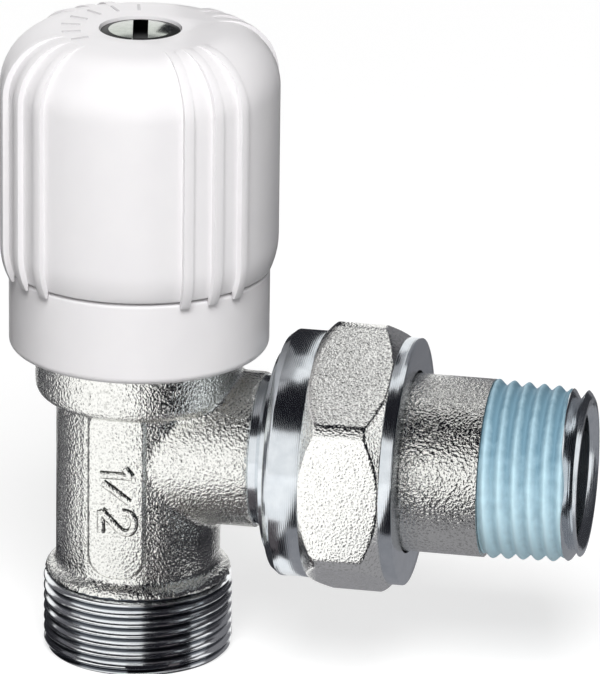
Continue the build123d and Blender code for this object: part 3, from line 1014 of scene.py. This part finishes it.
@dataclass
class UnionTail:
    """Tailpiece with its tapered thread, and the coat of sealant on that thread."""

    finishes: Finishes
    axis_height: float = 26.4
    thread_start: float = 43.15
    thread_finish: float = 54.95
    crest_radius: float = 10.62
    pitch: float = 1.814
    depth: float = 1.16
    phase: float = 0.5
    taper: float = 1 / 32  # radius lost along the thread
    chamfer: float = 0.8
    bore_radius: float = 7.7
    mouth_radius: float = 9.36
    mouth_length: float = 1.0
    coat: float = 0.14
    coat_fill: float = 0.5  # sealant that fills the roots
    coat_core: float = 8.7
    coat_finish: float = 53.9
    coat_edge: float = 52.1
    coat_edge_sway: float = 0.65
    sink: float = 0.95
    reach: float = 60.0

    def build(self) -> None:
        """Builds and dresses the tube, its thread and the sealant."""
        self.build_tube()
        self.build_thread()
        self.build_sealant()

    def narrowed(self, piece: Piece, core: float) -> Piece:
        """Tapers what lies outside a core radius, as a pipe thread narrows to its end.

        Args:
            piece: A piece on the outlet's axis.
            core: Radius in millimetres inside which nothing moves.

        Returns:
            The same piece.
        """
        middle = Vector((0, 0, self.axis_height * MM))
        for point in piece.data.vertices:
            arm = Vector((0, point.co.y, point.co.z)) - middle
            if arm.length > core * MM:
                lost = max(0.0, point.co.x - self.thread_start * MM) * self.taper
                point.co -= arm.normalized() * lost
        return piece

    def build_tube(self) -> None:
        """The plain forged tube, flange and nose."""
        tube = copy_of("tailpiece", "tail_tube")
        far = self.reach
        combined(tube, block(Vector((self.thread_start, -far, -far)), Vector((far, far, far))), "DIFFERENCE")
        smooth(tube, 30)
        dress(tube, self.finishes.forged, self.finishes.turned_outlet)
        settle(tube, Body.VALVE, Slot.PLATED, "tailpiece")

    def build_thread(self) -> None:
        """The tapered thread with a chamfered end and an open bore."""
        crest = self.crest_radius + 0.1
        blank = turned(
            "tail_blank",
            [
                (self.bore_radius, self.thread_start),
                (crest, self.thread_start),
                (crest, self.thread_finish - self.chamfer),
                (crest - self.chamfer, self.thread_finish),
                (self.mouth_radius, self.thread_finish),
                (self.bore_radius, self.thread_finish - self.mouth_length),
            ],
        )
        form = Thread(
            self.crest_radius,
            self.depth,
            self.pitch,
            self.thread_start - 0.5,
            self.thread_finish + 0.5,
            phase=self.phase,
        )
        thread = combined(form.rod("tail_thread"), blank, "INTERSECT")
        self.narrowed(laid(thread, Axis.OUTLET, self.axis_height), self.bore_radius + 0.1)
        smooth(thread, 40)
        dress(thread, self.finishes.turned_outlet)
        settle(thread, Body.VALVE, Slot.PLATED)

    def build_sealant(self) -> None:
        """The coat of sealant: softer ridges over the thread, with an uneven outer edge."""
        blank = turned(
            "sealant_blank",
            [
                (self.coat_core, self.thread_start + 0.05),
                (self.crest_radius + 1, self.thread_start + 0.05),
                (self.crest_radius + 1, self.coat_finish),
                (self.coat_core, self.coat_finish),
            ],
        )
        form = Thread(
            self.crest_radius + self.coat,
            self.depth - self.coat_fill,
            self.pitch,
            self.thread_start - 0.5,
            self.thread_finish + 0.5,
            sharpness=0.8,
            phase=self.phase,
        )
        coat = combined(form.rod("sealant_coat"), blank, "INTERSECT")
        laid(coat, Axis.OUTLET, self.axis_height)
        mark_ridges(coat, form, Axis.OUTLET, self.axis_height)
        self.narrowed(coat, self.coat_core + 0.1)
        self.fade_edge(coat)
        smooth(coat, 50)
        dress(coat, self.finishes.sealant)
        settle(coat, Body.VALVE, Slot.SEALANT, "thread_sealant")

    def fade_edge(self, coat: Piece) -> None:
        """Sinks the coat under the thread beyond a wavy edge that reaches furthest in front."""
        middle = Vector((0, 0, self.axis_height * MM))
        for point in coat.data.vertices:
            arm = Vector((0, point.co.y, point.co.z)) - middle
            if arm.length < (self.coat_core + 0.1) * MM:
                continue
            angle = math.atan2(arm.z, -arm.y)
            sway = math.cos(angle + 0.3) + 0.22 * math.sin(3 * angle + 1) + 0.12 * math.sin(8 * angle)
            edge = self.coat_edge + self.coat_edge_sway * (1 + sway)
            past = min(1.0, max(0.0, (point.co.x / MM - edge) / 0.5 + 0.5))
            point.co -= arm.normalized() * (self.sink * MM * past * past * (3 - 2 * past))


@dataclass
class UnionNut:
    """Union nut: forged hexagon between a turned collar and a turned end."""

    finishes: Finishes
    collar_end: float = 22.4
    end_start: float = 32.28
    floor: float = 28.53  # where the thread's bore ends
    bore_radius: float = 13.3
    hole_radius: float = 11.0
    turned_step: float = 0.1  # turned ends below the flats
    mouth_chamfer: float = 0.7
    mouth_length: float = 0.9
    bevel_length: float = 1.9
    lap: float = 0.3  # length by which the turned ends reach into the hexagon
    edge: float = 0.1
    grid: float = 0.22  # facet size of the forging, which rounds its edges by about as much

    def __post_init__(self) -> None:
        """Reads the nut's place and width over its flats from the solid."""
        low, high = span("union_nut")
        self.start = low.x
        self.finish = high.x
        self.axis_height = (low.z + high.z) / 2
        self.inscribed = (high.y - low.y) / 2
        self.corner = (high.z - low.z) / 2
        self.round = self.inscribed - self.turned_step

    def build(self) -> None:
        """Builds and dresses the hexagon, the collar and the end."""
        self.build_hexagon()
        collar = turned(
            "nut_collar",
            [
                (self.bore_radius, self.start),
                (self.round - self.mouth_chamfer, self.start),
                (self.round, self.start + self.mouth_length),
                (self.round, self.collar_end + self.lap),
                (self.bore_radius, self.collar_end + self.lap),
            ],
        )
        end = turned(
            "nut_end",
            [
                (self.hole_radius, self.end_start - self.lap),
                (self.round, self.end_start - self.lap),
                (self.round, self.finish),
                (self.hole_radius, self.finish),
            ],
        )
        for ring in (collar, end):
            modify(
                ring,
                "BEVEL",
                width=self.edge * MM,
                segments=2,
                limit_method="ANGLE",
                angle_limit=math.radians(20),
            )
            laid(ring, Axis.OUTLET, self.axis_height)
            smooth(ring, 25)
            dress(ring, self.finishes.turned_outlet)
            settle(ring, Body.NUT, Slot.PLATED)

    def build_hexagon(self) -> None:
        """The forged hexagon, its corners bevelled by cones and its edges softened."""
        blank = turned(
            "hexagon_blank",
            [
                (self.bore_radius, self.collar_end),
                (self.round, self.collar_end),
                (self.corner, self.collar_end + self.bevel_length),
                (self.corner, self.end_start - self.bevel_length),
                (self.round, self.end_start),
                (self.hole_radius, self.end_start),
                (self.hole_radius, self.floor),
                (self.bore_radius, self.floor),
            ],
        )
        deselect()
        bpy.ops.mesh.primitive_cylinder_add(
            vertices=6,
            radius=self.inscribed / math.cos(math.pi / 6) * MM,
            depth=2 * (self.finish - self.start) * MM,
            location=(0, 0, (self.start + self.finish) / 2 * MM),
            rotation=(0, 0, math.pi / 6),
        )
        hexagon = bpy.context.object
        hexagon.name = "nut_hexagon"
        bpy.ops.object.transform_apply(location=True, rotation=True, scale=True)
        combined(hexagon, blank, "INTERSECT")
        modify(hexagon, "REMESH", mode="VOXEL", voxel_size=self.grid * MM, use_smooth_shade=True)
        modify(hexagon, "SMOOTH", factor=0.5, iterations=4)
        laid(hexagon, Axis.OUTLET, self.axis_height)
        smooth(hexagon, 60)
        dress(hexagon, self.finishes.forged_nut)
        settle(hexagon, Body.NUT, Slot.PLATED, "union_nut")


@dataclass
class Handwheel:
    """Moulded handwheel with its screw and its graduated marks."""

    finishes: Finishes
    edge: float = 0.16
    top: float = 78.3
    mark_angles: tuple[float, ...] = (104, 124, 144, 164, 184, 204, 224)
    mark_inner: float = 7.2
    mark_outer: float = 9.5
    mark_width: float = 0.36
    mark_proud: float = 0.12
    screw_head: float = 4.75
    screw_head_height: float = 3.1
    screw_shank: float = 1.95
    screw_rim_drop: float = 0.35
    # width of the painted shade round the rim of the head
    screw_rim_shade_width: float = 0.75
    screw_dome: float = 0.6
    slot_length: float = 7.6
    slot_width: float = 1.8
    slot_depth: float = 1.5
    slot_angle: float = 102.0

    def build(self) -> None:
        """Builds and dresses the handwheel, its screw and the marks."""
        wheel = copy_of("handwheel", "handwheel_moulding")
        with editing(wheel):
            bpy.ops.mesh.dissolve_limited(angle_limit=math.radians(0.3))
        modify(
            wheel,
            "BEVEL",
            width=self.edge * MM,
            segments=2,
            limit_method="ANGLE",
            angle_limit=math.radians(35),
            use_clamp_overlap=True,
        )
        smooth(wheel, 35)
        dress(wheel, self.finishes.abs_white)
        settle(wheel, Body.WHEEL, Slot.PLASTIC, "handwheel")
        self.build_marks()
        self.build_screw()

    def build_screw(self) -> None:
        """The domed screw that holds the handwheel, with a straight slot across its head."""
        low, high = span("handwheel_screw")
        rim = self.top - self.screw_rim_drop
        steps = 10
        shares = [step / steps for step in range(steps + 1)]
        dome = [(self.screw_head * (1 - s), rim + self.screw_dome * (1 - (1 - s) ** 2)) for s in shares]
        under = high.z - self.screw_head_height
        shank = [(0, low.z), (self.screw_shank, low.z), (self.screw_shank, under), (self.screw_head, under)]
        screw = turned("domed_screw", shank + dome)
        half = Vector((self.slot_length, self.slot_width, 2 * self.slot_depth)) / 2
        cutter = block(-half, half)
        cutter.rotation_euler = (0, 0, math.radians(self.slot_angle))
        cutter.location = (0, 0, (rim + self.screw_dome) * MM)
        pick(cutter)
        bpy.ops.object.transform_apply(location=True, rotation=True, scale=True)
        combined(screw, cutter, "DIFFERENCE")
        smooth(screw, 25)
        dress(screw, self.finishes.steel, self.finishes.shaded_steel)
        slot_floor = rim + self.screw_dome - self.slot_depth

        def in_painted_shade(centre: Vector, normal: Vector) -> bool:
            """Whether a face lies in the slot or on the rim of the head, which are painted dark as shade."""
            in_slot = normal.z < 0.5 or centre.z < slot_floor + 0.05
            return centre.z > under and (in_slot or centre.xy.length > self.screw_head - self.screw_rim_shade_width)

        # the slot and the rim of the head take the dark steel: painted shade
        paint(screw, 1, in_painted_shade)
        settle(screw, Body.WHEEL, Slot.STEEL, "handwheel_screw")

    def build_marks(self) -> None:
        """A plain graduated scale on the flat top, each mark a small bar with softened edges."""
        marks = []
        for angle in self.mark_angles:
            half = Vector((self.mark_outer - self.mark_inner, self.mark_width, 2 * self.mark_proud)) / 2
            bar = block(-half, half)
            modify(bar, "BEVEL", width=self.mark_proud * 0.6 * MM, segments=2)
            turn = math.radians(angle)
            reach = (self.mark_inner + self.mark_outer) / 2
            bar.rotation_euler = (0, 0, turn)
            bar.location = Vector((reach * math.cos(turn), reach * math.sin(turn), self.top)) * MM
            pick(bar)
            bpy.ops.object.transform_apply(location=True, rotation=True, scale=True)
            marks.append(bar)
        pick(marks[0])
        for bar in marks:
            bar.select_set(True)
        bpy.ops.object.join()
        scale = bpy.context.object
        scale.name = "graduated_marks"
        smooth(scale, 40)
        dress(scale, self.finishes.abs_mark)
        settle(scale, Body.WHEEL, Slot.PLASTIC)


@dataclass
class InnerPieces:
    """Solids whose shape is right as it is, and that only need their finish."""

    finishes: Finishes

    def build(self) -> None:
        """Dresses each solid by its material."""
        wanted = {
            "skirt": self.finishes.abs_white,
            "screw_washer": self.finishes.steel,
            "gland_washer": self.finishes.steel,
            "disc_clip": self.finishes.steel,
            "bonnet": self.finishes.brass,
            "gland_nut": self.finishes.brass,
            "spindle": self.finishes.brass,
            "wheel_insert": self.finishes.brass,
            "disc_carrier": self.finishes.brass,
            "disc_nut": self.finishes.brass,
            "bonnet_seal": self.finishes.rubber,
            "union_o_ring": self.finishes.rubber,
            "spindle_o_ring_lower": self.finishes.rubber,
            "spindle_o_ring_upper": self.finishes.rubber,
            "disc_washer": self.finishes.rubber,
        }
        for node, material in wanted.items():
            dress(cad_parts[node], material)
            LOG.info("%s: dressed in %s", node, material.name)


@dataclass
class Studio:
    """Camera, floor, lamps, and glowing screens and cards that only reflections show: painted reflections that
    give plated metal its contrast.
    """

    azimuth: float = 11.0
    elevation: float = 19.58
    roll: float = 0.78
    distance: float = 751.4
    lens: float = 335.4
    target: Vector = Vector((19.67, 0.18, 41.06))
    middle: Vector = Vector((10.0, 0.0, 35.0))
    floor_size: float = 6000.0
    screen_distance: float = 420.0
    screen_foot: float = 1.0

    def direction(self, azimuth: float, elevation: float) -> Vector:
        """Unit vector to a place round the object, with azimuth 0 at the camera and right positive."""
        turn = math.radians(self.azimuth + azimuth)
        rise = math.radians(elevation)
        return Vector((math.sin(turn) * math.cos(rise), -math.cos(turn) * math.cos(rise), math.sin(rise)))

    def build(self) -> None:
        """Sets the camera, the floor, the light and the screens."""
        bpy.context.scene.view_settings.view_transform = "Standard"
        self.build_camera()
        self.build_world()
        self.build_floor()
        self.build_lamp("key_lamp", 0, 50, 1000, 500, 11.3)
        self.build_lamp("low_lamp", 8, 2, 1000, 500, 1.9)
        self.build_lamp("back_lamp", 180, 8, 1000, 700, 6.5)
        # screens and cards glow and only reflections show them: painted reflections, dark ones for shade and
        # pale ones for highlights and glints
        self.build_screen("right_screen", (5, 68), (-70, 60), "#1B1B20")
        self.build_screen("far_right_screen", (96, 150), (-40, 60), "#48484C")
        self.build_screen("left_screen", (-132, -90), (-70, 60), "#606064")
        self.build_screen("far_left_screen", (-150, -134), (-70, 0), "#1B1B20")
        self.build_screen("top_screen", (-100, 100), (37, 86), "#1B1B20")
        self.build_screen("back_screen", (172, 220), (38, 75), "#A6A6A8")
        # painted shade under the nut and the tail, for their undersides to reflect
        self.build_card("mat", Vector((19, -30, 1.2)), Vector((120, 160, 1.4)), "#909094")
        self.build_card("inlet_mat", Vector((1, -34, 1.2)), Vector((6, -9, 1.4)), "#1B1B20")
        self.build_card("inlet_mat_right", Vector((6, -34, 1.2)), Vector((16, -9, 1.4)), "#5C5658")
        # painted shadow round the inlet's foot, for the thread's foot to reflect
        self.build_card("foot_shadow_card", Vector((-14, -14, 0.05)), Vector((14, 14, 0.1)), "#1B1B20")
        self.build_card("inlet_light", Vector((-25, -40, 1.2)), Vector((1, -12, 1.4)), "#FFFFFF")
        self.build_card("inlet_card_right", Vector((15, -14, 8.5)), Vector((15.5, 14, 16)), "#36363A")
        self.build_card("inlet_card_dark", Vector((15, -14, 1.5)), Vector((15.5, -8, 8.5)), "#1B1B20")
        self.build_card("inlet_card_glint", Vector((15, -8, 1.5)), Vector((15.5, -3.3, 8.5)), "#F2F2F4")
        self.build_card("inlet_card_back", Vector((15, -3.3, 1.5)), Vector((15.5, 14, 8.5)), "#747478")
        self.build_card("inlet_card_left", Vector((-17, -15, 1.5)), Vector((-16.5, 14, 8.5)), "#26262A")
        self.build_card("tail_card", Vector((28, 60, 2)), Vector((66, 61, 160)), "#7A7A7E")
        self.build_card("mouth_card", Vector((66, 60, 2)), Vector((120, 61, 160)), "#3A3A3E")
        self.build_card("branch_card", Vector((-2, 30, 34)), Vector((20, 31, 95)), "#2E2E32")
        self.build_card("end_card", Vector((64, -40, 1.6)), Vector((125, -12, 1.8)), "#F0F0F2")

    def build_camera(self) -> None:
        """A long lens at the photograph's viewing angle."""
        camera = bpy.data.objects.new("camera", bpy.data.cameras.new("camera"))
        bpy.context.scene.collection.objects.link(camera)
        camera.data.lens = self.lens
        camera.data.clip_end = 20
        back = self.direction(0, self.elevation)
        camera.location = (self.target + back * self.distance) * MM
        camera.rotation_mode = "QUATERNION"
        upright = (-back).to_track_quat("-Z", "Y")
        camera.rotation_quaternion = upright @ Quaternion((0, 0, 1), math.radians(self.roll))
        bpy.context.scene.camera = camera

    def seen(self, tree: bpy.types.NodeTree) -> bpy.types.NodeSocket:
        """A value of 1 for what the camera, reflections and clear materials see, and 0 for other light."""
        path = add_node(tree, "ShaderNodeLightPath", {})
        mirrored = add_node(
            tree,
            "ShaderNodeMath",
            {0: path.outputs["Is Camera Ray"], 1: path.outputs["Is Glossy Ray"]},
            operation="MAXIMUM",
        )
        both = add_node(
            tree,
            "ShaderNodeMath",
            {0: mirrored.outputs[0], 1: path.outputs["Is Transmission Ray"]},
            operation="MAXIMUM",
        )
        return both.outputs[0]

    def build_world(self) -> None:
        """White behind the object, and a lower even light on it."""
        world = bpy.data.worlds.new("studio")
        bpy.context.scene.world = world
        world.use_nodes = True
        tree = world.node_tree
        tree.nodes.clear()
        strength = add_node(
            tree, "ShaderNodeMapRange", {"Value": self.seen(tree), "To Min": 0.05, "To Max": 1.0}
        )
        light = add_node(
            tree, "ShaderNodeBackground", {"Color": (1, 1, 1, 1), "Strength": strength.outputs[0]}
        )
        add_node(tree, "ShaderNodeOutputWorld", {"Surface": light.outputs[0]})

    def build_floor(self) -> None:
        """A plain white floor that keeps a soft shadow."""
        deselect()
        bpy.ops.mesh.primitive_plane_add(size=self.floor_size * MM)
        floor = bpy.context.object
        floor.name = "floor"
        material, tree, surface = blank_material("painted_white_floor")
        place = add_node(tree, "ShaderNodeTexCoord", {}).outputs["Object"]
        mottle = add_node(tree, "ShaderNodeTexNoise", {"Vector": place, "Scale": 12.0})
        tone = add_node(
            tree,
            "ShaderNodeMix",
            {0: mottle.outputs[0], 6: linear("#AAAAAA"), 7: linear("#AEAEAE")},
            data_type="RGBA",
        )
        paint_coat = add_node(tree, "ShaderNodeBsdfDiffuse", {"Color": tone.outputs[2]})
        glow = add_node(
            tree, "ShaderNodeMath", {0: self.seen(tree), 1: 0.68}, operation="MULTIPLY"
        )
        light = add_node(tree, "ShaderNodeEmission", {"Strength": glow.outputs[0]})
        total = add_node(tree, "ShaderNodeAddShader", {0: paint_coat.outputs[0], 1: light.outputs[0]})
        tree.links.new(total.outputs[0], surface)
        dress(floor, material)

    def build_lamp(
        self, name: str, azimuth: float, elevation: float, distance: float, size: float, power: float
    ) -> None:
        """A square soft box that neither the camera nor a reflection shows.

        Args:
            name: The lamp's name.
            azimuth: Degrees right of the camera.
            elevation: Degrees above the floor.
            distance: Millimetres from the object.
            size: Side of the square in millimetres.
            power: Watts.
        """
        lamp = bpy.data.objects.new(name, bpy.data.lights.new(name, "AREA"))
        bpy.context.scene.collection.objects.link(lamp)
        lamp.data.size = size * MM
        lamp.data.energy = power
        back = self.direction(azimuth, elevation)
        lamp.location = (self.middle + back * distance) * MM
        lamp.rotation_mode = "QUATERNION"
        lamp.rotation_quaternion = (-back).to_track_quat("-Z", "Y")
        lamp.visible_camera = False
        lamp.visible_glossy = False

    def build_screen(self, name: str, azimuths: Point, elevations: Point, colour: str) -> None:
        """A curved dark screen, folded out along the floor at its foot, that glows and only reflections show: a
        painted reflection.

        Args:
            name: The screen's name.
            azimuths: Degrees right of the camera, from and to.
            elevations: Degrees above the floor, from and to.
            colour: sRGB colour that it glows with.
        """
        deselect()
        bpy.ops.mesh.primitive_grid_add(x_subdivisions=16, y_subdivisions=48, size=1)
        screen = bpy.context.object
        screen.name = name
        for point in screen.data.vertices:
            turn = azimuths[0] + (point.co.x + 0.5) * (azimuths[1] - azimuths[0])
            rise = elevations[0] + (point.co.y + 0.5) * (elevations[1] - elevations[0])
            ray = self.direction(turn, rise)
            to_floor = (self.middle.z - self.screen_foot) / max(-ray.z, self.screen_foot / self.screen_distance)
            point.co = (self.middle + ray * min(self.screen_distance, to_floor)) * MM
        self.glow_for_reflections(screen, colour)

    def build_card(self, name: str, low: Vector, high: Vector, colour: str) -> None:
        """A flat glowing card between two corners in millimetres, that only reflections show: a painted
        reflection.
        """
        card = block(low, high)
        card.name = name
        self.glow_for_reflections(card, colour)

    def glow_for_reflections(self, screen: Piece, colour: str) -> None:
        """Makes a screen or card glow with one even sRGB tone, though it is no lamp, and shows it to
        reflections alone: a painted reflection.
        """
        material, tree, surface = blank_material("reflection_only_glow")
        tone = add_node(tree, "ShaderNodeEmission", {"Color": linear(colour)})
        tree.links.new(tone.outputs[0], surface)
        dress(screen, material)
        screen.visible_camera = False
        screen.visible_diffuse = False
        screen.visible_transmission = False
        screen.visible_shadow = False


def main() -> None:
    """Builds the studio and every part of the valve."""
    logging.basicConfig(level=logging.INFO, format="%(name)s: %(message)s")
    Studio().build()
    finishes = Finishes()
    for part in (
        ValveBody(finishes),
        UnionTail(finishes),
        UnionNut(finishes),
        Handwheel(finishes),
        InnerPieces(finishes),
    ):
        part.build()
        LOG.info("%s built", type(part).__name__)


if __name__ == "__main__":
    main()
